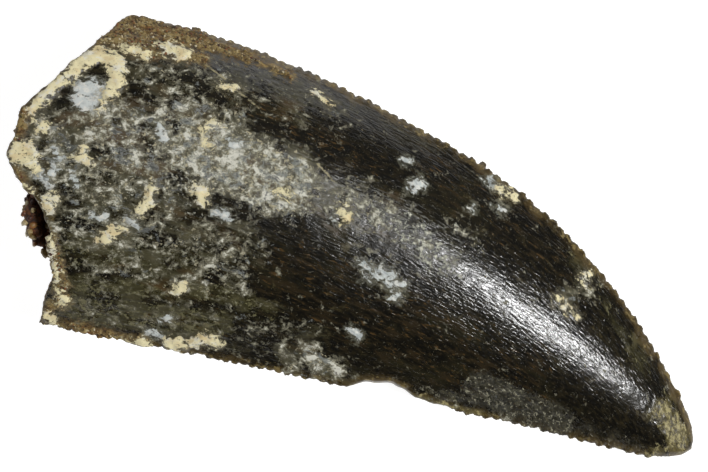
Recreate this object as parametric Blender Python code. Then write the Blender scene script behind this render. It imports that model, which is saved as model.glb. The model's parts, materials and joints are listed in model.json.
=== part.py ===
"""A fossil raptor tooth: a flattened, serrated crown with sandstone in the pulp cavity of its broken base.

The crown is modelled along X, from the broken base to the tip, with +Y towards its front (mesial) edge and
+Z towards its outer (labial) face. It is then laid down on its inner (lingual) face, as it lies in a tray.
Lengths are in metres, with +Z up.
"""

import math
import random

import bmesh
import bpy
from mathutils import Vector, noise
from mathutils.geometry import interpolate_bezier

MM = 0.001

# The crown's two edges, in millimetres, from beyond the break to the tip.
FRONT_EDGE = (
    (-1.0, 0.73), (1.55, 1.28), (4.6, 1.84), (8.2, 2.05), (12.0, 1.90), (15.3, 1.48),
    (18.1, 0.60), (20.6, -0.68), (22.5, -1.96), (23.62, -2.82), (24.05, -3.42),
)
BACK_EDGE = (
    (0.3, -9.72), (3.2, -8.84), (6.4, -8.07), (9.4, -7.38), (12.0, -6.80), (14.3, -6.28),
    (16.8, -5.72), (19.4, -5.16), (21.6, -4.78), (23.2, -4.42), (23.92, -4.02),
)
APEX = (24.12, -3.72)

# How far the outer and inner faces swell from the edges, and how far the tip leans inward.
OUTER_SWELL = 2.65 * MM
INNER_SWELL = 2.05 * MM
TIP_SWELL = 0.30 * MM
TAPER_POWER = 1.45
TIP_ROUNDING = 0.965
TIP_LEAN = 1.8 * MM

# Ring columns over each face, and how far the first one stands from an edge.
OUTER_COLUMNS = 14
INNER_COLUMNS = 12
DENTICLE_ROOT = 0.30 * MM

# Serrations: small chisels along both edges, a little longer towards the tip.
DENTICLES = 84
DENTICLE_GROWTH = 0.35
DENTICLE_HEIGHT = 0.12 * MM
DENTICLE_SEED = 7
WORN_TIP = 23.0 * MM

# The broken base: where its outer and inner wall end, from front to back, as (Y, X) in millimetres.
OUTER_BREAK = (
    (2.0, 1.8), (1.33, 1.57), (0.72, 1.47), (0.0, 1.16), (-1.36, 0.67), (-2.12, 0.27), (-2.8, 0.02),
    (-3.6, 0.17), (-4.43, 0.18), (-4.79, 0.63), (-5.02, 1.02), (-5.25, 1.65), (-6.04, 2.47), (-6.52, 2.46),
    (-7.06, 3.07), (-7.65, 3.03), (-8.9, 3.12), (-10.6, 3.3),
)
INNER_BREAK = (
    (2.0, 2.3), (0.3, 1.9), (-1.4, 1.5), (-2.9, 0.75), (-4.1, 0.95), (-5.3, 1.9), (-6.4, 3.0), (-7.6, 3.5),
    (-8.9, 3.3), (-10.6, 3.6),
)

# The chip in the back edge, as (X, Y). Its face slants inward by the slant as it rises.
CHIP = (
    (12.4, -7.1), (12.9, -6.72), (13.5, -6.22), (14.3, -5.86), (15.2, -5.93), (16.4, -5.84), (17.6, -5.78),
    (18.4, -6.1),
)
CHIP_SLANT = 0.6

BREAK_ROUGHNESS = 0.10 * MM
BREAK_GRAIN = 0.55 * MM
BREAK_STEPS = (44, 8)

# The pulp cavity, as shares of the crown's width, swell and length.
CAVITY_WIDTH = 0.66
CAVITY_SWELL = 0.60
CAVITY_DEPTH = 0.34
CAVITY_RINGS = 12

# The sandstone in it: where it ends, as (Y, X), and the grains that stand in that end, as (Y, Z, diameter).
FILL_GAP = 0.30 * MM
FILL_BREAK = (
    (0.6, 2.4), (-0.9, 2.1), (-2.0, 1.25), (-3.0, 0.80), (-4.2, 0.85), (-4.9, 1.35), (-5.4, 1.45),
    (-6.1, 1.75), (-6.6, 2.25), (-7.4, 2.8), (-8.6, 3.2),
)
GRAINS = (
    (-5.30, 0.85, 0.56), (-5.75, 0.95, 0.70), (-6.20, 0.75, 0.60), (-6.42, 0.30, 0.54), (-5.65, 0.30, 0.60),
    (-6.15, 0.10, 0.50), (-5.15, 0.20, 0.50), (-4.60, 0.70, 0.60), (-4.55, -0.20, 0.54), (-3.95, 0.25, 0.60),
    (-3.40, 0.75, 0.52), (-3.30, -0.35, 0.50), (-2.80, 0.25, 0.58), (-2.20, 0.60, 0.48), (-2.10, -0.20, 0.46),
    (-1.80, 0.10, 0.46), (-5.75, -0.40, 0.50), (-5.00, -0.50, 0.46),
)
GRAIN_ROUGHNESS = 0.14
GRAIN_LUMPS = 0.2 * MM

# How the tooth lies: nearly level, on a small flat under its inner face and on its tip.
REST_TILT = math.radians(-0.15)
REST_FLAT_DEPTH = 0.06 * MM

BLOCK_REACH = 12.0 * MM
SMOOTH_ANGLE = math.radians(35)


def smooth_line(places):
    """Points along the smooth curve through places, which are in millimetres."""
    knots = [Vector((x, y, 0.0)) * MM for x, y in places]
    knots = [2 * knots[0] - knots[1], *knots, 2 * knots[-1] - knots[-2]]
    line = []
    for before, start, stop, after in zip(knots, knots[1:], knots[2:], knots[3:]):
        leave = start + (stop - before) / 6
        arrive = stop - (after - start) / 6
        line += interpolate_bezier(start, leave, arrive, stop, 17)[:-1]
    return line + [knots[-2]]


def points_along(line, shares):
    """The points of a line at these shares of its length, which rise."""
    travelled = [0.0]
    for start, stop in zip(line, line[1:]):
        travelled.append(travelled[-1] + (stop - start).length)
    found, step = [], 0
    for share in shares:
        wanted = share * travelled[-1]
        while step < len(line) - 2 and travelled[step + 1] < wanted:
            step += 1
        part = (wanted - travelled[step]) / (travelled[step + 1] - travelled[step])
        found.append(line[step].lerp(line[step + 1], part))
    return found


def edges_at(shares):
    """(front, back, share) for each share of the way from the base to the tip."""
    fronts = points_along(smooth_line(FRONT_EDGE), shares)
    backs = points_along(smooth_line(BACK_EDGE), shares)
    return list(zip(fronts, backs, shares))


def swell_at(share, swell):
    """How far a face stands from the edges, at its crest. It thins towards the tip and rounds off there."""
    full = TIP_SWELL + (swell - TIP_SWELL) * (1 - share**TAPER_POWER)
    past = max(share - TIP_ROUNDING, 0.0) / (1.02 - TIP_ROUNDING)
    return full * math.sqrt(1 - past**2)


def fullness(across, share, outer):
    """A face's form from edge to edge: 0 at the edges, 1 at its crest. Near the base it is boxier."""
    crest = (0.38 if outer else 0.34) + 0.19 * share**2
    boxy = max(1 - share / 0.6, 0.0)
    if across < crest:
        power = 2.0 + (2.0 if outer else 0.9) * boxy
        full = 1 - ((crest - across) / crest) ** power
    else:
        power = 2.0 + 0.5 * boxy
        full = 1 - ((across - crest) / (1 - crest)) ** power
    # A shallow groove runs up each face from the base, behind the crest.
    groove = (0.13 if outer else 0.10) * max(1 - share / 0.55, 0.0)
    return full - groove * math.exp(-(((across - 0.64) / 0.12) ** 2))


def places_across(width, count):
    """Places across a face, as shares of its width, closer together near the edges."""
    root = min(DENTICLE_ROOT / width, 0.16)
    even = [i / (count - 1) for i in range(count)]
    return [root + (1 - 2 * root) * (t - 0.08 * math.sin(2 * math.pi * t)) for t in even]


def section(front, back, share, width_scale=1.0, swell_scale=1.0):
    """One ring round the crown: the front edge, the outer face, the back edge and the inner face."""
    lean = Vector((0, 0, -TIP_LEAN * share**2))
    middle = (front + back) / 2 + lean
    front, back = (middle + (edge + lean - middle) * width_scale for edge in (front, back))

    def face(count, swell, outer):
        up = Vector((0, 0, (1 if outer else -1) * swell_at(share, swell) * swell_scale))
        places = places_across((back - front).length, count)
        return [front.lerp(back, across) + up * fullness(across, share, outer) for across in places]

    outer_face = face(OUTER_COLUMNS, OUTER_SWELL, True)
    inner_face = face(INNER_COLUMNS, INNER_SWELL, False)
    return [front, *outer_face, back, *reversed(inner_face)]


def loft(bm, rings):
    """A closed skin over rings of equal count, capped at both ends. Returns the rings and the last cap."""
    made = [[bm.verts.new(point) for point in ring] for ring in rings]
    for near, far in zip(made, made[1:]):
        for i in range(len(near)):
            bm.faces.new((near[i - 1], near[i], far[i], far[i - 1]))
    bm.faces.new(made[0])
    return made, bm.faces.new(made[-1])


def object_of(bm, name, collection, material=None):
    """An object of the mesh, with its faces pointing out. With no material it is a cutter."""
    bmesh.ops.recalc_face_normals(bm, faces=bm.faces)
    mesh = bpy.data.meshes.new(name)
    bm.to_mesh(mesh)
    bm.free()
    obj = bpy.data.objects.new(name, mesh)
    collection.objects.link(obj)
    if material:
        mesh.materials.append(material)
        mesh.shade_smooth()
        mesh.set_sharp_from_angle(angle=SMOOTH_ANGLE)
    else:
        obj.hide_render = True
        obj.display_type = "WIRE"
    return obj


def split_between(first, second):
    """Splits the face that two points share, along the line between them."""
    face = next(face for face in first.link_faces if second in face.verts)
    bmesh.utils.face_split(face, first, second)


def raise_denticles(bm, rings, column, outward_turn, chance):
    """One denticle on each step of an edge: two new points pushed outward, with a notch on either side."""
    for near_ring, far_ring in zip(rings, rings[1:]):
        near, far = near_ring[column], far_ring[column]
        step = far.co - near.co
        outward = Vector((-step.y, step.x, 0)).normalized() * outward_turn
        height = DENTICLE_HEIGHT * chance.uniform(0.72, 1.15)
        if near.co.x > WORN_TIP:
            height *= 0.15
        elif chance.random() < 0.06:
            height *= 0.4
        rising = bmesh.utils.edge_split(bm.edges.get((near, far)), near, 0.24)[1]
        falling = bmesh.utils.edge_split(bm.edges.get((rising, far)), rising, 0.68)[1]
        rising.co += outward * height
        falling.co += outward * height * 0.94
        for side in (column - 1, column + 1):
            split_between(rising, near_ring[side])
            split_between(falling, far_ring[side])


def build_crown(collection, material):
    """The crown, before it is broken: a loft of lens-shaped sections, one at each notch between denticles."""
    even = [i / DENTICLES for i in range(DENTICLES + 1)]
    shares = [(t + DENTICLE_GROWTH * t * t / 2) / (1 + DENTICLE_GROWTH / 2) for t in even]
    bm = bmesh.new()
    rings, tip_cap = loft(bm, [section(*place) for place in edges_at(shares)])
    point = bmesh.ops.poke(bm, faces=[tip_cap])["verts"][0]
    point.co = Vector((APEX[0] * MM, APEX[1] * MM, -TIP_LEAN))
    chance = random.Random(DENTICLE_SEED)
    raise_denticles(bm, rings, 0, 1, chance)
    raise_denticles(bm, rings, OUTER_COLUMNS + 1, -1, chance)
    return object_of(bm, "tooth_crown", collection, material)


def read_line(line, place):
    """The second value of a line at a place along its first, both in metres. The line is in millimetres."""
    line = sorted(line)
    for (near, start), (far, stop) in zip(line, line[1:]):
        if place <= far * MM:
            part = max((place - near * MM) / ((far - near) * MM), 0.0)
            return (start + (stop - start) * part) * MM
    return line[-1][1] * MM


def build_break(name, collection, outer_line, inner_line, slant=0.0, along_x=False):
    """The space beyond a break, as a block with one rough face. It runs down from a line on the outer side
    to one on the inner side. It crosses the crown along Y, or follows its back edge along X."""
    ends = sorted((outer_line[0][0] * MM, outer_line[-1][0] * MM))
    top, bottom = OUTER_SWELL * 1.3, -INNER_SWELL * 1.4 - TIP_LEAN
    bm = bmesh.new()
    bmesh.ops.create_grid(bm, x_segments=BREAK_STEPS[0], y_segments=BREAK_STEPS[1], size=0.5)
    for vert in bm.verts:
        place = ends[0] + (ends[1] - ends[0]) * (vert.co.x + 0.5)
        z = bottom + (top - bottom) * (vert.co.y + 0.5)
        inner = min(max(-z / INNER_SWELL, 0.0), 1.0)
        depth = read_line(outer_line, place) * (1 - inner) + read_line(inner_line, place) * inner
        depth += max(z, 0.0) * slant + noise.noise(Vector((0, place, z)) / BREAK_GRAIN) * BREAK_ROUGHNESS
        vert.co = (place, depth, z) if along_x else (depth, place, z)
    drawn = bmesh.ops.extrude_face_region(bm, geom=bm.faces[:])["geom"]
    for vert in drawn:
        if isinstance(vert, bmesh.types.BMVert):
            vert.co[1 if along_x else 0] = -BLOCK_REACH
    return object_of(bm, name, collection)


def cavity_mesh(clearance):
    """The pulp cavity, drawn in by a clearance: the crown's own sections, scaled down to a rounded end."""
    turns = [math.pi / 2 * i / (CAVITY_RINGS + 0.5) for i in range(CAVITY_RINGS + 1)]
    rings = []
    for front, back, share in edges_at([CAVITY_DEPTH * math.sin(turn) for turn in turns]):
        taper = math.sqrt(1 - (share / CAVITY_DEPTH) ** 2)
        width_scale = CAVITY_WIDTH * taper - 2 * clearance / (front - back).length
        swell_scale = CAVITY_SWELL * taper - clearance / swell_at(share, INNER_SWELL)
        if min(width_scale, swell_scale) > 0.02:
            rings.append(section(front, back, share, width_scale, swell_scale))
    bm = bmesh.new()
    loft(bm, rings)
    return bm


def build_grains(cutters):
    """Coarse sand grains, each an uneven ball, to be joined to the end of the filling."""
    grains = new_collection("sand_grains", cutters)
    for number, (y, z, diameter) in enumerate(GRAINS):
        place = Vector((read_line(FILL_BREAK, y * MM), y * MM, z * MM))
        bm = bmesh.new()
        bmesh.ops.create_icosphere(bm, subdivisions=2, radius=diameter * MM / 2)
        for vert in bm.verts:
            lump = noise.noise(vert.co / GRAIN_LUMPS + Vector((number, 0, 0)))
            vert.co = place + vert.co * (1 + GRAIN_ROUGHNESS * lump)
        object_of(bm, f"grain_{number}", grains)
    return grains


def build_tray(collection):
    """The surface that the tooth lies on, as a block. It trims a small flat where the inner face touches."""
    bm = bmesh.new()
    bmesh.ops.create_cube(bm, size=1)
    bmesh.ops.scale(bm, vec=(60 * MM, 40 * MM, BLOCK_REACH), verts=bm.verts)
    bmesh.ops.translate(bm, vec=(0, 0, -BLOCK_REACH / 2), verts=bm.verts)
    return object_of(bm, "tray", collection)


def cut_away(obj, cutter):
    cut = obj.modifiers.new(f"cut_{cutter.name}", "BOOLEAN")
    cut.operation = "DIFFERENCE"
    cut.object = cutter
    cut.solver = "EXACT"


def join_all(obj, collection):
    join = obj.modifiers.new(f"join_{collection.name}", "BOOLEAN")
    join.operation = "UNION"
    join.operand_type = "COLLECTION"
    join.collection = collection
    join.solver = "EXACT"


def bounds_of(objects):
    """The lowest and highest corner of these objects as they stand, with their modifiers."""
    bpy.context.view_layer.update()
    graph = bpy.context.evaluated_depsgraph_get()
    points = []
    for obj in objects:
        shaped = obj.evaluated_get(graph)
        points += [shaped.matrix_world @ vert.co for vert in shaped.data.vertices]
    low = Vector([min(point[i] for point in points) for i in range(3)])
    high = Vector([max(point[i] for point in points) for i in range(3)])
    return low, high


def lay_down(pieces, helpers, tray):
    """Lays the tooth on its inner face. The flat is then at Z 0, and the origin is under the middle."""
    laid = bpy.data.objects.new("laid_tooth", None)
    bpy.context.scene.collection.objects.link(laid)
    for obj in (*pieces, *helpers):
        obj.parent = laid
    laid.rotation_euler.y = REST_TILT
    low, high = bounds_of(pieces)
    laid.location.z = -low.z - REST_FLAT_DEPTH
    cut_away(pieces[0], tray)
    laid.location.xy = -(low.xy + high.xy) / 2


def principled(name, colour, roughness):
    material = bpy.data.materials.new(name)
    material.use_nodes = True
    shader = material.node_tree.nodes["Principled BSDF"]
    shader.inputs["Base Color"].default_value = (*colour, 1)
    shader.inputs["Roughness"].default_value = roughness
    shader.inputs["Metallic"].default_value = 0
    return material


def new_collection(name, parent):
    made = bpy.data.collections.new(name)
    parent.children.link(made)
    return made


def main():
    for obj in list(bpy.data.objects):
        bpy.data.objects.remove(obj)
    scene = bpy.context.scene.collection
    tooth = new_collection("fossil_raptor_tooth", scene)
    cutters = new_collection("cutters", scene)
    enamel = principled("fossil_enamel", (0.045, 0.036, 0.026), 0.35)
    sandstone = principled("sandstone", (0.42, 0.25, 0.12), 0.9)

    crown = build_crown(tooth, enamel)
    base_break = build_break("base_break", cutters, OUTER_BREAK, INNER_BREAK)
    cavity = object_of(cavity_mesh(0.0), "pulp_cavity", cutters)
    cut_away(crown, base_break)
    cut_away(crown, cavity)
    chip = build_break("edge_chip", cutters, CHIP, CHIP, CHIP_SLANT, along_x=True)
    cut_away(crown, chip)

    fill = object_of(cavity_mesh(FILL_GAP), "matrix_fill", tooth, sandstone)
    fill_break = build_break("fill_break", cutters, FILL_BREAK, FILL_BREAK)
    grains = build_grains(cutters)
    cut_away(fill, fill_break)
    join_all(fill, grains)

    helpers = [base_break, cavity, chip, fill_break, *grains.objects]
    lay_down([crown, fill], helpers, build_tray(cutters))


main()
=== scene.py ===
"""A fossil raptor tooth, lying on its inner face on a pale table and seen from straight above."""

import json
import math

import bpy
import numpy as np
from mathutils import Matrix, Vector, noise

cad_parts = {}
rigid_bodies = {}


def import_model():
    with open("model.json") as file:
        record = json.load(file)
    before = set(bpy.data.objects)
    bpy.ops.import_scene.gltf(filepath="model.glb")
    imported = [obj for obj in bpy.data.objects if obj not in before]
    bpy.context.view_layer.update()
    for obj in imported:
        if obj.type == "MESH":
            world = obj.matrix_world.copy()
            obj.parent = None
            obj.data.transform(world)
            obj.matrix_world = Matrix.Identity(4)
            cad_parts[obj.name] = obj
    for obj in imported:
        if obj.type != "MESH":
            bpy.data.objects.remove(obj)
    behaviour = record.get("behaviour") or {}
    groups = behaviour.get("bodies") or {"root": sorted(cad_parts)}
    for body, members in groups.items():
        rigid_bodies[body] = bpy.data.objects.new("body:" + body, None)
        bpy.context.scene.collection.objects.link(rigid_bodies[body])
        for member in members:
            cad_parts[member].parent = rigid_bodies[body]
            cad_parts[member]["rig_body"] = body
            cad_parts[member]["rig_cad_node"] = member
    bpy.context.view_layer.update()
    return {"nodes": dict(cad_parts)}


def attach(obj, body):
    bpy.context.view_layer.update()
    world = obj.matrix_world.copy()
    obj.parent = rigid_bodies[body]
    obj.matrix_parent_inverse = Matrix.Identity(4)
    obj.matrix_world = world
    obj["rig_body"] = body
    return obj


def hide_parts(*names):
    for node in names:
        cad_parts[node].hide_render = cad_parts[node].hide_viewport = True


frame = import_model()

# The crown: one grown piece of dentine under a thin coat of enamel, turned dark as it fossilised.
# It broke off at the base and lost a chip from its back edge. Both edges carry fine serrations.
# Its mesh is shaped at a thousand times its size, so that one unit is a millimetre.
ENLARGED = 1000
SKIN_STEP = 0.056
SMOOTHING = 0.7
MOST_TRIANGLES = 190_000
EDGE_BIN = 0.1


def enlarged_copy(node, name):
    """A copy of a CAD node, merged into one skin and enlarged."""
    bpy.ops.object.select_all(action="DESELECT")
    source = frame["nodes"][node]
    source.select_set(True)
    bpy.context.view_layer.objects.active = source
    bpy.ops.object.duplicate()
    piece = bpy.context.active_object
    piece.name = piece.data.name = name
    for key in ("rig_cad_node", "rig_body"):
        del piece[key]
    bpy.ops.object.parent_clear(type="CLEAR_KEEP_TRANSFORM")
    piece.data.materials.clear()
    bpy.ops.object.mode_set(mode="EDIT")
    bpy.ops.mesh.select_all(action="SELECT")
    bpy.ops.mesh.remove_doubles(threshold=1e-6)
    bpy.ops.object.mode_set(mode="OBJECT")
    piece.scale = (ENLARGED,) * 3
    bpy.ops.object.transform_apply(location=False, rotation=False, scale=True)
    return piece


def shape_with(piece, kind, **settings):
    """Gives the piece a modifier with these settings, and applies it."""
    modifier = piece.modifiers.new(kind.lower(), kind)
    for name, value in settings.items():
        setattr(modifier, name, value)
    bpy.context.view_layer.objects.active = piece
    bpy.ops.object.modifier_apply(modifier=modifier.name)


def weigh(piece, name, weights):
    """Puts a vertex group on the piece, in steps of a fiftieth, and gives its name."""
    group = piece.vertex_groups.new(name=name)
    steps = np.rint(np.clip(weights, 0, 1) * 50).astype(int)
    for step in range(1, 51):
        group.add(np.flatnonzero(steps == step).tolist(), step / 50, "REPLACE")
    return name


def read_vertices(piece, what):
    """The places or normals of the piece's vertices, one row each."""
    found = np.empty(len(piece.data.vertices) * 3, np.float32)
    piece.data.vertices.foreach_get(what, found)
    return found.reshape(-1, 3).astype(float)


def ease(values, low, high):
    """0 below low, 1 above high and smooth between them."""
    part = np.clip((values - low) / (high - low), 0, 1)
    return part * part * (3 - 2 * part)


def cloud(points, size, octaves=3):
    """Cloudy noise at these points, about -1 to 1, with lumps of this size."""
    return np.array([noise.fractal(Vector(point) / size, 1.0, 2.0, octaves) for point in points])


crown = enlarged_copy("tooth_crown", "fossil_crown")
shape_with(crown, "REMESH", mode="VOXEL", voxel_size=SKIN_STEP)

# The front and back edge are read from the skin. Near them and near the broken base it stays sharp.
places = read_vertices(crown, "co")
bins = ((places[:, 0] - places[:, 0].min()) / EDGE_BIN).astype(int)
front_line = np.full(bins.max() + 1, -99.0)
back_line = np.full(bins.max() + 1, 99.0)
np.maximum.at(front_line, bins, places[:, 1])
np.minimum.at(back_line, bins, places[:, 1])
bin_places = places[:, 0].min() + (np.arange(len(front_line)) + 0.5) * EDGE_BIN


def edge_distances(points):
    """(distance from the front edge, from the back edge) in plan."""
    found = []
    for line, turn in ((front_line, 1), (back_line, -1)):
        straight = np.cos(np.arctan(np.gradient(np.convolve(line, np.ones(9) / 9, "same"), EDGE_BIN)))
        edge = np.interp(points[:, 0], bin_places, line)
        found.append(turn * (edge - points[:, 1]) * np.interp(points[:, 0], bin_places, straight))
    return found


front_gap, back_gap = edge_distances(places)
base_rows = ((places[:, 1] - places[:, 1].min()) / EDGE_BIN).astype(int)
base_line = np.full(base_rows.max() + 1, 99.0)
np.minimum.at(base_line, base_rows, places[:, 0])
base_gap = places[:, 0] - base_line[base_rows]
sharp_gap = np.minimum(np.minimum(front_gap, back_gap), base_gap)

# The photograph shows where the crest, the dirt and the wear lie. One of its pixels is 0.03217 mm, and
# it is rolled by 25 degrees against the tooth. The corner of the tooth's base, at a place in mm, lies 73
# pixels along the crown from the picture's corner.
PIXEL = 0.03217
ROLL = math.radians(25)
BASE_CORNER = (-12.073, 3.400)
BASE_CORNER_PIXEL = 73


def picture_places(points):
    """The photograph's pixel over which each point lies."""
    along = (points[:, 0] - BASE_CORNER[0]) / PIXEL + BASE_CORNER_PIXEL
    up = (points[:, 1] - BASE_CORNER[1]) / PIXEL
    return along * math.cos(ROLL) + up * math.sin(ROLL), along * math.sin(ROLL) - up * math.cos(ROLL)


def stroke_depth(stroke, across, down):
    """How far inside a stroke each place is, in pixels. It is negative outside."""
    x1, y1, x2, y2, half_width = stroke[:5]
    run_x, run_y = x2 - x1, y2 - y1
    part = ((across - x1) * run_x + (down - y1) * run_y) / max(run_x**2 + run_y**2, 1e-6)
    part = np.clip(part, 0, 1)
    return half_width - np.hypot(across - x1 - part * run_x, down - y1 - part * run_y)


# The crest is a low ridge down the outer face to the tip, along which the light is caught.
CREST = ((370, 205), (432, 246), (464, 270), (526, 316), (563, 337), (613, 374), (658, 411))
CREST_HEIGHT = 0.09
CREST_WIDTH = 0.50
across, down = picture_places(places)
crest_gap = PIXEL * np.min(
    [-stroke_depth((*one, *two, 0), across, down) for one, two in zip(CREST, CREST[1:])], axis=0
)
crest = np.exp(-0.5 * (crest_gap / CREST_WIDTH) ** 2) * ease(across, 370, 450)
crest *= ease(read_vertices(crown, "normal")[:, 2], 0.0, 0.3)
group = weigh(crown, "crest", crest)
shape_with(crown, "DISPLACE", strength=CREST_HEIGHT, mid_level=0.0, vertex_group=group)
group = weigh(crown, "open_face", ease(sharp_gap, 0.14, 0.50))
shape_with(crown, "SMOOTH", factor=0.5, iterations=int(4 * (SMOOTHING / SKIN_STEP) ** 2), vertex_group=group)
shape_with(crown, "SMOOTH", factor=0.5, iterations=2)

# Where dirt and wear lie, and where a sheen is painted. The marks are strokes in the photograph's pixels:
# from, to and half width.
# The stains have their strength, from 0 to 1, as a sixth value.
# Ivory: thick cream crusts of lime.
IVORY = (
    (40, 112, 60, 90, 5), (60, 90, 82, 70, 6), (82, 70, 102, 58, 7), (102, 58, 120, 64, 7),
    (112, 62, 122, 68, 7), (122, 68, 121, 88, 7), (121, 84, 114, 98, 6.5), (106, 110, 108, 106, 3),
    (24, 150, 36, 152, 8), (22, 154, 34, 162, 8), (32, 166, 40, 170, 3), (28, 187, 38, 190, 3),
    (88, 152, 88, 160, 4), (84, 158, 94, 164, 3.6), (46, 128, 51, 130, 4.5), (155, 188, 152, 202, 4.2),
    (149, 203, 143, 212, 3.6), (199, 190, 207, 193, 4.5), (202, 194, 206, 203, 4.2),
    (107, 240, 116, 233, 4.5), (116, 232, 128, 229, 2.5), (168, 343, 186, 346, 5), (176, 350, 178, 354, 3),
    (190, 345, 205, 338, 4),
    (203, 336, 219, 344, 3.6), (47, 316, 55, 319, 4.5), (176, 290, 185, 286, 3), (178, 292, 182, 289, 2.0),
    (284, 192, 290, 196, 4), (344, 211, 345, 219, 4.5), (501, 189, 514, 197, 4), (586, 275, 589, 284, 3.0),
    (583, 276, 590, 275, 2.2), (556, 299, 564, 307, 1.9), (573, 313, 576, 316, 2.8), (166, 50, 186, 56, 6),
    (224, 89, 237, 90, 2.6), (50, 200, 60, 200, 4), (132, 52, 148, 56, 4), (128, 342, 146, 343, 3),
    (60, 292, 66, 300, 3.4), (54, 238, 57, 252, 2.6), (58, 262, 60, 276, 2.4),
    (52, 206, 56, 210, 3.6), (206, 130, 222, 125, 3.4), (207, 142, 213, 146, 3.6), (316, 93, 330, 104, 1.4),
)
# Threads: thin pale lines. Cracks: dark hairlines. Chalk: thinner, bluish white crusts of lime.
THREADS = ((205, 65, 227, 81, 0.9), (238, 92, 263, 112, 0.8), (318, 165, 335, 183, 1.0))
CRACKS = ((43, 193, 80, 196, 0.6), (300, 236, 322, 246, 0.5))
CHALK = (
    (90, 93, 106, 92, 8), (87, 104, 100, 105, 8), (102, 100, 112, 94, 7), (46, 177, 54, 184, 4.5),
    (56, 175, 60, 170, 2.6),
    (62, 154, 64, 158, 3), (134, 221, 137, 223, 3.5), (96, 216, 110, 218, 2), (168, 318, 172, 317, 2),
    (410, 186, 421, 184, 2.8), (416, 181, 415, 189, 2.8), (404, 161, 409, 162, 2.2),
    (488, 179, 496, 187, 1.8),
    (496, 207, 502, 210, 2), (471, 207, 473, 205, 2), (362, 264, 370, 270, 2.3), (372, 272, 378, 276, 1.8),
    (382, 272, 391, 275, 2.8), (386, 282, 394, 288, 2.4), (391, 285, 401, 284, 2.2),
    (391, 292, 394, 297, 2.4),
    (365, 276, 369, 279, 1.8), (334, 220, 342, 214, 2.2), (233, 145, 238, 148, 3), (150, 333, 162, 336, 2.6),
    (163, 128, 168, 142, 2.2), (77, 176, 82, 186, 2), (219, 214, 229, 216, 2.4), (351, 329, 357, 336, 2.2),
)
# Sand: brown crusts of silt and sand. Haze: a thin pale coat of lime dust.
SAND = (
    (128, 22, 150, 30, 12), (150, 30, 200, 42, 10), (200, 42, 250, 58, 6), (250, 58, 290, 76, 2),
    (112, 36, 126, 26, 8), (104, 44, 110, 40, 4), (31, 114, 26, 140, 5), (60, 325, 120, 338, 5),
    (126, 339, 146, 340, 4), (55, 240, 64, 285, 6), (62, 291, 64, 300, 7), (24, 174, 32, 190, 4),
    (48, 310, 60, 300, 4), (120, 42, 158, 54, 9), (160, 50, 204, 60, 6),
)
HAZE = (
    (110, 140, 220, 140, 45, 0.74), (205, 150, 285, 185, 38, 0.94), (60, 150, 150, 205, 45, 0.67),
    (70, 225, 240, 255, 34, 0.58), (150, 70, 200, 115, 24, 0.62), (240, 100, 330, 130, 18, 0.35),
    (300, 180, 380, 215, 26, 0.58), (400, 230, 440, 260, 18, 0.36), (500, 205, 500, 200, 12, 0.5),
    (568, 293, 592, 293, 9, 0.85), (284, 350, 296, 370, 10, 0.95), (306, 356, 336, 372, 13, 1.0),
    (370, 265, 395, 290, 14, 0.65), (140, 330, 215, 342, 9, 0.6), (225, 265, 232, 300, 8, 0.5),
    (60, 305, 300, 335, 30, 0.38), (100, 268, 240, 282, 18, 0.60), (130, 45, 160, 62, 14, 0.6),
    (150, 60, 240, 88, 16, 0.62), (240, 88, 340, 120, 12, 0.45),
    (456, 224, 480, 246, 5, 0.75), (405, 392, 470, 418, 5, 0.75),
    (470, 418, 560, 440, 4, 0.65), (490, 398, 514, 391, 4, 0.85), (500, 400, 506, 426, 5, 0.72),
)
# Brown and olive: stains in the enamel.
BROWN = (
    (240, 100, 370, 165, 16, 1.0), (300, 275, 520, 385, 45, 0.75), (135, 118, 240, 118, 12, 0.8),
    (430, 160, 560, 260, 26, 0.70), (95, 330, 130, 325, 10, 0.7), (190, 300, 300, 330, 20, 0.5),
    (240, 190, 260, 200, 30, 0.45), (360, 230, 450, 300, 12, 0.5), (100, 195, 130, 220, 14, 0.5),
    (70, 308, 220, 326, 16, 0.9),
)
OLIVE = (
    (68, 285, 225, 292, 14, 0.9), (225, 292, 270, 313, 12, 0.8), (560, 230, 690, 430, 12, 0.6),
    (250, 60, 430, 145, 7, 0.6), (200, 66, 330, 108, 14, 0.55), (330, 380, 400, 395, 10, 0.7),
    (75, 250, 200, 264, 20, 0.82), (75, 308, 220, 324, 18, 0.92),
)
# Frost: roughened enamel. Lace: fine pale specks. Painted sheen: grey strokes painted along the crown beside
# the highlight, standing in for the soft box's reflection on hazy enamel.
FROST = (
    (480, 388, 560, 425, 20, 0.95), (560, 425, 640, 447, 13, 0.60), (440, 398, 480, 402, 9, 0.9),
    (640, 447, 665, 455, 8, 0.6), (410, 392, 440, 398, 5, 0.6), (250, 340, 350, 380, 9, 0.5),
    (70, 300, 220, 322, 26, 0.50), (220, 322, 300, 345, 16, 0.55), (80, 255, 200, 268, 20, 0.40),
    (185, 60, 330, 108, 14, 0.72),
)
LACE = (
    (352, 205, 400, 225, 18, 0.75), (400, 222, 440, 262, 17, 0.95), (440, 262, 462, 280, 8, 0.7),
    (455, 222, 480, 246, 7, 0.7), (345, 200, 372, 196, 7, 0.8), (262, 150, 300, 200, 14, 0.7),
    (110, 140, 220, 180, 50, 0.60), (215, 150, 290, 190, 34, 0.72), (80, 230, 220, 262, 24, 0.60),
    (80, 270, 230, 290, 20, 0.52),
)
PAINTED_SHEEN = (
    (330, 190, 400, 212, 20, 1.0), (400, 212, 450, 258, 20, 1.0), (450, 255, 520, 315, 15, 0.6),
    (230, 150, 330, 190, 20, 0.6), (300, 235, 380, 260, 12, 0.4),
)
# Enamel worn through, at the tip and along the back edge beside it.
WORN_TIP = (
    (664, 412, 684, 444, 13, 1.0), (684, 446, 655, 458, 7, 1.0), (655, 408, 664, 420, 6, 0.8),
    (402, 391, 440, 403, 3, 0.9), (440, 403, 482, 416, 4, 0.9),
)


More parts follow.
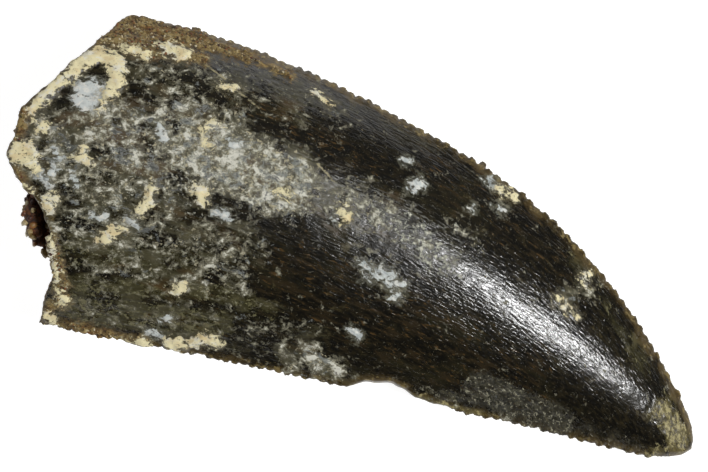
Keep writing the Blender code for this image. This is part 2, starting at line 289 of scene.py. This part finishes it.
def marks_on(places, normals):
    """Every mark's strength or depth at each vertex, and the vertex's distance from the nearer edge."""
    edge_gap = np.minimum(*edge_distances(places))
    across, down = picture_places(places)
    outer_side = ease(normals[:, 2], -0.25, 0.0)
    coarse, fine, lumpy = cloud(places, 1.3), cloud(places, 0.28), cloud(places, 0.5)

    def crust_depth(strokes, unseen_level):
        """How far inside a crust each vertex is, in mm. The inner face has crusts of its own, from noise."""
        drawn = np.max([stroke_depth(stroke, across, down) for stroke in strokes], axis=0) * PIXEL
        unseen = (coarse + 0.35 * fine - unseen_level) * 0.5
        return drawn * outer_side + unseen * (1 - outer_side) + lumpy * 0.075

    def spread(strokes, unseen_share, soft=20):
        """How strong a stain is at each vertex, from 0 to 1."""
        drawn = [stroke[5] * ease(stroke_depth(stroke, across, down), -soft, soft) for stroke in strokes]
        unseen = unseen_share * ease(coarse + 0.3 * fine, -0.5, 0.6)
        return np.max(drawn, axis=0) * outer_side + unseen * (1 - outer_side)

    base_side = ease(-places[:, 0], 5.0, 11.0)
    inner_tip = ease(places[:, 0], 11.2, 11.9) * (1 - outer_side)

    def hairlines(strokes):
        """1 along thin lines on the outer face, and 0 elsewhere."""
        drawn = np.max([stroke_depth(stroke, across, down) for stroke in strokes], axis=0)
        return outer_side * ease(drawn, -1.4, 0.6)

    marks = {
        "ivory": crust_depth(IVORY, 0.75),
        "chalk": crust_depth(CHALK, 0.82),
        "sand": crust_depth(SAND, 0.70),
        "haze": np.maximum(spread(HAZE, 0.6), 0.2 * base_side) + 0.16 * lumpy * base_side,
        "brown": spread(BROWN, 0.7),
        "olive": spread(OLIVE, 0.5, 10),
        "frost": spread(FROST, 0.3, 8),
        "lace": spread(LACE, 0.3, 8),
        "worn": spread(WORN_TIP, 0.0, 9) + inner_tip,
        # Painted sheen: grey strokes beside the highlight that stand in for the soft box's reflection.
        "painted_sheen": spread(PAINTED_SHEEN, 0.3),
        "broken": ease(-normals[:, 0], 0.45, 0.75) * ease(-places[:, 0], 7.5, 8.5),
        "edge": ease(-edge_gap, -0.50, -0.05),
        "thread": hairlines(THREADS),
        "crack": hairlines(CRACKS),
    }
    return marks, edge_gap


places = read_vertices(crown, "co")
marks, edge_gap = marks_on(places, read_vertices(crown, "normal"))
off_table = ease(places[:, 2], 0.0, 1.0)
# The relief: the size of its lumps and its height, in mm, the level that stays in place, and where it is.
relief = (
    ("undulation", 1.7, 0.05, 0.5, ease(edge_gap, 0.2, 1.0)),
    ("coarse_wrinkle", 0.45, 0.015, 0.5, ease(edge_gap, 0.1, 0.6)),
    ("ivory_crust", 0.22, 0.11, 0.0, ease(marks["ivory"], -0.03, 0.06)),
    ("chalk_crust", 0.18, 0.06, 0.0, ease(marks["chalk"], -0.03, 0.05)),
    ("sand_crust", 0.16, 0.12, 0.2, ease(marks["sand"], -0.05, 0.1)),
    ("haze_grit", 0.14, 0.035, 0.4, marks["haze"]),
    ("frost_grit", 0.15, 0.07, 0.5, marks["frost"]),
    ("tip_wear", 0.22, 0.09, 0.5, marks["worn"]),
    ("break_grain", 0.3, 0.14, 0.5, marks["broken"]),
)
for name, lump_size, height, level, weights in relief:
    texture = bpy.data.textures.new(name, "CLOUDS")
    texture.noise_scale = lump_size
    texture.noise_depth = 3
    shape_with(
        crown, "DISPLACE", texture=texture, strength=height, mid_level=level,
        vertex_group=weigh(crown, name, weights * off_table),
    )

triangles = 2 * len(crown.data.polygons)
if triangles > MOST_TRIANGLES:
    shape_with(crown, "DECIMATE", ratio=MOST_TRIANGLES / triangles)
places = read_vertices(crown, "co")
marks, edge_gap = marks_on(places, read_vertices(crown, "normal"))

# Patterns on the enamel follow the crown's bent axis, given here as (along, across) in mm. The marks
# go with them to the shader, as attributes of the mesh.
AXIS = ((0, -1.7), (4.6, -0.74), (8.2, -0.38), (12, -0.28), (16, -0.5), (20, -1.5), (24, -3.5))
axis_curve = np.polyfit([point[0] for point in AXIS], [point[1] for point in AXIS], 4)
along = places[:, 0] - BASE_CORNER[0]
grain = np.column_stack((along, places[:, 1] - BASE_CORNER[1] - np.polyval(axis_curve, along), places[:, 2]))
crown.data.attributes.new("grain", "FLOAT_VECTOR", "POINT").data.foreach_set(
    "vector", grain.astype(np.float32).ravel()
)
for name, values in marks.items():
    field = crown.data.attributes.new(name, "FLOAT", "POINT")
    field.data.foreach_set("value", values.astype(np.float32))


def back_to_size(piece):
    """Brings a piece to its real size, with smooth shading and no vertex groups."""
    piece.vertex_groups.clear()
    piece.scale = (1 / ENLARGED,) * 3
    bpy.ops.object.select_all(action="DESELECT")
    piece.select_set(True)
    bpy.context.view_layer.objects.active = piece
    bpy.ops.object.transform_apply(location=False, rotation=False, scale=True)
    bpy.ops.object.shade_smooth()


back_to_size(crown)


def tint(code):
    """An sRGB hex colour as linear RGBA."""
    parts = [int(code[i : i + 2], 16) / 255 for i in (1, 3, 5)]
    return (*[part / 12.92 if part <= 0.04045 else ((part + 0.055) / 1.055) ** 2.4 for part in parts], 1)


def add(tree, kind, inputs=None, **settings):
    """Adds a node with its settings. Each input takes a value or another node's output."""
    node = tree.nodes.new(kind)
    for name, value in settings.items():
        setattr(node, name, value)
    for name, value in (inputs or {}).items():
        if isinstance(value, bpy.types.NodeSocket):
            tree.links.new(value, node.inputs[name])
        else:
            node.inputs[name].default_value = value
    return node


def new_material(name, **values):
    """(material, its tree, its Principled shader), with these shader values."""
    material = bpy.data.materials.new(name)
    material.use_nodes = True
    shader = material.node_tree.nodes["Principled BSDF"]
    for key, value in values.items():
        shader.inputs[key.replace("_", " ")].default_value = value
    return material, material.node_tree, shader


# Fossil enamel: apatite stained black by iron and manganese. It is still glossy, with a fine braided
# relief that runs along the crown and breaks its highlights into short strokes.
enamel, tree, shader = new_material("fossil_enamel", IOR=1.52)
place = add(tree, "ShaderNodeAttribute", attribute_name="grain").outputs["Vector"]
field = {
    name: add(tree, "ShaderNodeAttribute", attribute_name=name).outputs["Fac"] for name in marks
}
field["everywhere"] = add(tree, "ShaderNodeValue").outputs[0]
field["everywhere"].default_value = 1.0
# Each noise: how much it is squeezed along the crown, its lumps to the millimetre across it, detail,
# roughness and distortion. Streaks and strokes are 0.07 to 0.24 mm wide, as the enamel's braided relief
# is, clumps and blotches 0.7 to 0.8 mm, and specks, flecks and grit 0.08 to 0.18 mm, as silt is.
NOISES = {
    "streak": (0.18, 4.2, 4, 0.60, 0.2),
    "wisp": (0.28, 10.0, 3, 0.65, 0.2),
    "stroke": (0.17, 15.0, 2, 0.45, 0.6),
    "wrinkle": (0.30, 4.0, 2, 0.50, 0.4),
    "blotch": (0.40, 1.2, 4, 0.60, 0.2),
    "clump": (0.75, 1.5, 6, 0.68, 0.3),
    "clot": (0.88, 3.3, 7, 0.71, 0.3),
    "vein": (0.75, 2.6, 6, 0.72, 0.4),
    "crust": (0.80, 4.4, 6, 0.74, 0.4),
    "speck": (0.80, 5.5, 6, 0.76, 0.3),
    "fleck": (0.90, 8.0, 4, 0.68, 0.3),
    "grit": (1.00, 13.0, 3, 0.66, 0.3),
}
pattern = {}
for name, (stretch, density, detail, roughness, distortion) in NOISES.items():
    mapped = add(tree, "ShaderNodeMapping", {"Vector": place, "Scale": (stretch, 1, 1)}).outputs[0]
    look = {"Scale": density, "Detail": detail, "Roughness": roughness, "Distortion": distortion}
    pattern[name] = add(tree, "ShaderNodeTexNoise", {"Vector": mapped, **look}).outputs["Fac"]

# Each coat: its colour, the mark and the noise that it follows, their gain, low and high, its opacity,
# its roughness, and how high it stands in thousandths of a millimetre. It shows where mark + gain x
# noise rises from low to high. A coat "in" a crust tints that crust alone.
COATS = (
    ("#2A2415", "everywhere", "wisp", 5, 3.20, 4.10, 0.80, 0.21, 0),
    ("#2E2A17", "everywhere", "blotch", 5, 3.40, 4.50, 0.55, 0.22, 0),
    ("#2F2616", "brown", "streak", 5, 3.25, 3.95, 0.85, 0.22, 0),
    ("#5C4527", "brown", "wisp", 5, 3.75, 4.20, 0.80, 0.23, 0),
    ("#4C4829", "olive", "clump", 3, 1.90, 2.80, 0.75, 0.36, 0),
    ("#8F8A62", "olive", "speck", 5, 3.45, 3.90, 0.75, 0.42, 1),
    ("#584724", "edge", "clump", 3, 1.70, 2.80, 0.80, 0.36, 0),
    ("#8E7B48", "edge", "speck", 5, 3.45, 3.95, 0.75, 0.45, 1),
    # Painted sheen: a grey coat in strokes, a painted reflection of the soft box beside the highlight.
    ("#73736B", "painted_sheen", "stroke", 5, 3.50, 4.10, 0.70, 0.28, 0),
    ("#6E6A54", "everywhere", "grit", 5, 4.26, 4.48, 0.60, 0.60, 1),
    ("#57533A", "haze", "clump", 3, 1.80, 2.70, 0.80, 0.45, 0),
    ("#54401F", "haze", "blotch", 4, 2.70, 3.35, 0.75, 0.45, 0),
    ("#7C7862", "haze", "clot", 5, 3.02, 3.42, 0.78, 0.70, 3),
    ("#CCC2A0", "haze", "fleck", 5, 3.60, 3.95, 0.80, 0.80, 6),
    ("#B2AF9A", "haze", "clot", 5, 3.36, 3.62, 0.82, 0.75, 5),
    ("#9CA2A0", "haze", "vein", 5, 3.52, 3.80, 0.60, 0.70, 4),
    ("#EAE8DA", "haze", "clot", 5, 3.58, 3.80, 0.90, 0.80, 9),
    ("#15130C", "haze", "speck", 5, 3.75, 4.15, 0.88, 0.50, -4),
    ("#16150E", "lace", "vein", 5, 3.60, 3.80, 0.70, 0.28, 0),
    ("#B7B7A6", "lace", "speck", 5, 3.52, 3.70, 0.85, 0.70, 5),
    ("#E6E4D4", "lace", "speck", 5, 3.78, 3.92, 0.90, 0.80, 8),
    ("#2A2718", "frost", "clump", 3, 1.85, 2.95, 0.75, 0.50, 0),
    ("#4C4936", "frost", "speck", 5, 3.30, 3.85, 0.70, 0.50, 3),
    ("#A8A48A", "frost", "fleck", 5, 3.76, 4.08, 0.75, 0.70, 5),
    ("#15130C", "frost", "grit", 5, 3.50, 3.85, 0.75, 0.45, -3),
    ("#6C6238", "worn", "clump", 3, 1.80, 2.80, 0.90, 0.38, 0),
    ("#B8AC78", "worn", "speck", 5, 3.25, 3.80, 0.80, 0.50, 3),
    ("#332A14", "worn", "fleck", 5, 3.55, 3.90, 0.80, 0.45, -4),
    ("#7A6240", "broken", "speck", 3, 1.90, 2.40, 1.00, 0.80, 4),
    ("#3A2B18", "broken", "fleck", 5, 3.50, 3.95, 0.80, 0.80, -4),
    ("#B0A680", "thread", "speck", 2, 1.55, 2.05, 0.85, 0.70, 5),
    ("#0E0C08", "crack", "speck", 2, 1.45, 1.95, 0.90, 0.60, -8),
    ("#6A5229", "sand", "crust", 1.2, 0.42, 0.80, 1.00, 0.85, 6),
    ("#8F5E26", "in sand", "clump", 5, 3.45, 4.20, 0.75, 0.85, 8),
    ("#A8935E", "in sand", "clot", 5, 3.30, 3.75, 0.85, 0.85, 12),
    ("#D0C49C", "in sand", "speck", 5, 3.82, 4.10, 0.80, 0.80, 14),
    ("#2A1F0F", "in sand", "fleck", 5, 3.66, 3.96, 0.90, 0.85, -6),
    ("#7E7D69", "chalk", "crust", 1.4, 0.45, 0.75, 0.65, 0.60, 3),
    ("#DBE0DC", "chalk", "crust", 1.4, 0.66, 0.73, 0.97, 0.85, 14),
    ("#98A0A2", "in chalk", "vein", 5, 3.55, 4.00, 0.70, 0.80, 10),
    ("#F2F0E6", "in chalk", "speck", 5, 3.50, 3.90, 0.80, 0.85, 16),
    ("#686044", "ivory", "crust", 1.4, 0.45, 0.75, 0.60, 0.60, 3),
    ("#F6EBBE", "ivory", "crust", 1.4, 0.66, 0.72, 1.00, 0.85, 18),
    ("#E0C48C", "in ivory", "clump", 5, 3.50, 4.30, 0.60, 0.85, 18),
    ("#F0EEE2", "in ivory", "vein", 5, 3.45, 4.00, 0.70, 0.85, 18),
    ("#5A4526", "in ivory", "grit", 5, 4.12, 4.30, 0.75, 0.85, 6),
)
colour, rough, height = tint("#0D0B06"), 0.21, 0.0
crust_share = {}
for code, mark, noise_name, gain, low, high, opacity, roughness, thickness in COATS:
    within = mark.removeprefix("in ")
    level = add(
        tree, "ShaderNodeMath", {0: pattern[noise_name], 1: gain, 2: 1.0 if mark != within else field[mark]},
        operation="MULTIPLY_ADD",
    ).outputs[0]
    share = add(
        tree, "ShaderNodeMapRange", {"Value": level, "From Min": low, "From Max": high, "To Max": opacity},
        interpolation_type="SMOOTHSTEP",
    ).outputs[0]
    if mark != within:
        inputs = {0: share, 1: crust_share[within]}
        share = add(tree, "ShaderNodeMath", inputs, operation="MULTIPLY").outputs[0]
    elif within in ("sand", "chalk", "ivory"):
        crust_share[within] = share
    colour = add(tree, "ShaderNodeMix", {0: share, 6: colour, 7: tint(code)}, data_type="RGBA").outputs[2]
    rough = add(tree, "ShaderNodeMix", {0: share, 2: rough, 3: roughness}).outputs[0]
    height = add(tree, "ShaderNodeMix", {0: share, 2: height, 3: thickness}).outputs[0]
tree.links.new(colour, shader.inputs["Base Color"])
tree.links.new(rough, shader.inputs["Roughness"])

# The relief that is too fine for the mesh: strokes and wrinkles of 10 to 15 thousandths of a millimetre,
# grit on whatever is rough, and the thickness of the coats.
normal = None
for height, distance, strength in (
    (pattern["stroke"], 15e-6, 1.0),
    (pattern["wrinkle"], 10e-6, 1.0),
    (pattern["grit"], 12e-6, rough),
    (height, 1e-6, 1.0),
):
    bump = add(tree, "ShaderNodeBump", {"Height": height, "Distance": distance, "Strength": strength})
    if normal:
        tree.links.new(normal, bump.inputs["Normal"])
    normal = bump.outputs[0]
tree.links.new(normal, shader.inputs["Normal"])
crown.data.materials.append(enamel)
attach(crown, "root")
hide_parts("tooth_crown")

# The matrix: river sandstone that still fills the broken pulp cavity. Single coarse quartz grains,
# stained red-brown to honey, stand out of its broken end, held by a dark iron cement.
MATRIX_STEP = 0.07
GRAIN_SEED = 4
CAVITY_MOUTH = -9.4
matrix = enlarged_copy("matrix_fill", "sandstone_matrix")
shape_with(matrix, "REMESH", mode="VOXEL", voxel_size=MATRIX_STEP)
shape_with(matrix, "SMOOTH", factor=0.5, iterations=4)
random = np.random.default_rng(GRAIN_SEED)

# One pebble of 24 faces, a rounded and dented cube, is the model of every grain.
bpy.ops.object.select_all(action="DESELECT")
bpy.ops.mesh.primitive_cube_add(size=1)
pebble = bpy.context.active_object
shape_with(pebble, "SUBSURF", levels=1, render_levels=1)
texture = bpy.data.textures.new("pebble", "CLOUDS")
texture.noise_scale = 0.7
shape_with(pebble, "DISPLACE", texture=texture, strength=0.60, mid_level=0.5)
pebble_corners = read_vertices(pebble, "co")
pebble_faces = np.array([face.vertices[:] for face in pebble.data.polygons])
bpy.data.objects.remove(pebble)


def sand_grains(name, surface, widest, spacing, count, tones):
    """Grains half sunk at some of these surface places. Each place has a tone, which its grain takes."""
    spots, corners, faces, shades = [], [], [], []
    for index in random.permutation(len(surface)):
        spot = surface[index]
        if len(spots) == count:
            break
        if spots and np.min(np.linalg.norm(np.array(spots) - spot, axis=1)) < spacing:
            continue
        turn = np.linalg.qr(random.normal(size=(3, 3)))[0]
        turn *= np.linalg.det(turn)
        width = widest * random.uniform(0.45, 1.0) * random.uniform(0.6, 1.0, 3)
        faces.append(pebble_faces + len(spots) * len(pebble_corners))
        corners.append(spot + (pebble_corners * width) @ turn.T)
        shades.append(np.full(len(pebble_corners), tones[index] + random.normal() * 0.20))
        spots.append(spot)
    mesh = bpy.data.meshes.new(name)
    mesh.from_pydata(np.vstack(corners).tolist(), [], np.vstack(faces).tolist())
    mesh.attributes.new("tone", "FLOAT", "POINT").data.foreach_set(
        "value", np.concatenate(shades).astype(np.float32)
    )
    piece = bpy.data.objects.new(name, mesh)
    bpy.context.scene.collection.objects.link(piece)
    back_to_size(piece)
    return piece


matrix_places, matrix_normals = read_vertices(matrix, "co"), read_vertices(matrix, "normal")
bare = matrix_places[(matrix_normals[:, 0] < 0.3) & (matrix_places[:, 0] < CAVITY_MOUTH)]
# Grains take paler tones the lower they lie in the picture: dark red-brown at the top of the broken end,
# honey at its bottom.
tones = 0.60 * ease(picture_places(bare)[1], 194, 209)
matrix_sand = sand_grains("matrix_sand", bare, 0.50, 0.21, 440, tones)

# The stuck sand: grains of the same sand, caught in the brown crusts along the crown's front edge and
# its base. They lie half sunk in its upper side.
crown_places = read_vertices(crown, "co") * ENLARGED
faces_up = read_vertices(crown, "normal")[:, 2] > -0.1
in_sand = (marks["sand"] > 0.02) & (marks["ivory"] < 0.0)
sandy = np.flatnonzero(in_sand & faces_up & (crown_places[:, 2] > 0.3))
stuck_sand = sand_grains(
    "stuck_sand", crown_places[sandy], 0.16, 0.11, 420, 0.5 + 0.25 * cloud(crown_places[sandy], 0.8)
)
back_to_size(matrix)

# Iron cement: the rust-brown mud that binds the grains. It is dull, and mottled every 0.1 mm.
cement, tree, shader = new_material("iron_cement", Roughness=0.8, IOR=1.54)
spot = add(tree, "ShaderNodeTexCoord").outputs["Object"]
spot = add(tree, "ShaderNodeMapping", {"Vector": spot, "Scale": (ENLARGED,) * 3}).outputs[0]
dust = add(tree, "ShaderNodeTexNoise", {"Vector": spot, "Scale": 9.0, "Detail": 4}).outputs["Fac"]
share = add(tree, "ShaderNodeMapRange", {"Value": dust, "From Min": 0.42, "From Max": 0.62}).outputs[0]
colour = add(
    tree, "ShaderNodeMix", {0: share, 6: tint("#2E180C"), 7: tint("#6A3E1E")}, data_type="RGBA"
).outputs[2]
tree.links.new(colour, shader.inputs["Base Color"])
bump = add(tree, "ShaderNodeBump", {"Height": dust, "Distance": 2e-5, "Strength": 0.6})
tree.links.new(bump.outputs[0], shader.inputs["Normal"])
matrix.data.materials.append(cement)

# Stained quartz: each grain has one tone of its own, from dark red-brown through honey to pale, and a
# dull gleam, as its faces are frosted by the river.
quartz, tree, shader = new_material("stained_quartz_sand", Roughness=0.52, IOR=1.54)
tone = add(tree, "ShaderNodeAttribute", attribute_name="tone").outputs["Fac"]
spot = add(tree, "ShaderNodeTexCoord").outputs["Object"]
spot = add(tree, "ShaderNodeMapping", {"Vector": spot, "Scale": (ENLARGED,) * 3}).outputs[0]
dust = add(tree, "ShaderNodeTexNoise", {"Vector": spot, "Scale": 7.0, "Detail": 4}).outputs["Fac"]
tone = add(tree, "ShaderNodeMath", {0: dust, 1: 0.9, 2: tone}, operation="MULTIPLY_ADD").outputs[0]
colour = tint("#3A190D")
for code, low, high in (
    ("#6A3C20", 0.50, 0.62), ("#8E5E2E", 0.66, 0.74), ("#86703F", 0.80, 0.90), ("#B09C6E", 1.08, 1.20),
    ("#D8CDAE", 1.28, 1.42),
):
    share = add(tree, "ShaderNodeMapRange", {"Value": tone, "From Min": low, "From Max": high}).outputs[0]
    colour = add(tree, "ShaderNodeMix", {0: share, 6: colour, 7: tint(code)}, data_type="RGBA").outputs[2]
tree.links.new(colour, shader.inputs["Base Color"])
for piece in (matrix_sand, stuck_sand):
    piece.data.materials.append(quartz)
for piece in (matrix, matrix_sand, stuck_sand):
    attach(piece, "root")
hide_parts("matrix_fill")

# The table: a sheet of matt white card on which the tooth lies loose. It is lit evenly from behind, as
# a light table is, so that it stays white and takes only a faint shadow.
TABLE_SIZE = 0.6
bpy.ops.object.select_all(action="DESELECT")
bpy.ops.mesh.primitive_plane_add(size=TABLE_SIZE, location=(0, 0, 0))
table = bpy.context.active_object
table.name = "white_card"
card, tree, shader = new_material(
    "white_card", Base_Color=tint("#A8A8A6"), Roughness=0.9,
    Emission_Color=tint("#FFFFFF"), Emission_Strength=0.95,
)
table.data.materials.append(card)

# The light: one narrow soft box, a third of the way down from overhead at the tip's side, whose
# reflection is the long highlight on the crest, with weak fill from the left and from behind.
SUBJECT = Vector((-0.00089, 0.00133, 0.002))
LIGHTS = (
    # direction, distance, size across and along the crown, watts
    ("soft_box", (0.530, 0.10, 0.842), 0.16, 0.010, 0.032, 0.185),
    ("soft_box_spill", (0.34, 0.24, 0.91), 0.16, 0.02, 0.04, 0.009),
    ("fill_left", (-0.75, 0.25, 0.60), 0.30, 0.25, 0.25, 0.10),
    ("fill_back", (0.1, 0.85, 0.55), 0.30, 0.25, 0.20, 0.012),
)
for name, direction, distance, across, along, watts in LIGHTS:
    light = bpy.data.lights.new(name, "AREA")
    light.shape = "RECTANGLE"
    light.size, light.size_y = across, along
    light.energy = watts
    lamp = bpy.data.objects.new(name, light)
    bpy.context.scene.collection.objects.link(lamp)
    away = Vector(direction).normalized()
    lamp.location = SUBJECT + away * distance
    lamp.rotation_euler = away.to_track_quat("Z", "Y").to_euler()
world = bpy.data.worlds.new("studio")
world.use_nodes = True
world.node_tree.nodes["Background"].inputs["Color"].default_value = (1, 1, 1, 1)
world.node_tree.nodes["Background"].inputs["Strength"].default_value = 0.05
bpy.context.scene.world = world
bpy.context.scene.view_settings.view_transform = "Standard"

# The camera looks straight down, rolled as the photograph is.
VIEW_WIDTH = 0.02278
LENS = 180
SENSOR = 36
camera_data = bpy.data.cameras.new("overhead")
camera_data.lens, camera_data.sensor_width = LENS, SENSOR
camera_data.clip_start, camera_data.clip_end = 0.005, 2.0
camera = bpy.data.objects.new("overhead", camera_data)
bpy.context.scene.collection.objects.link(camera)
camera.location = SUBJECT + Vector((0, 0, VIEW_WIDTH * LENS / SENSOR))
camera.rotation_euler = (0, 0, ROLL)
bpy.context.scene.camera = camera
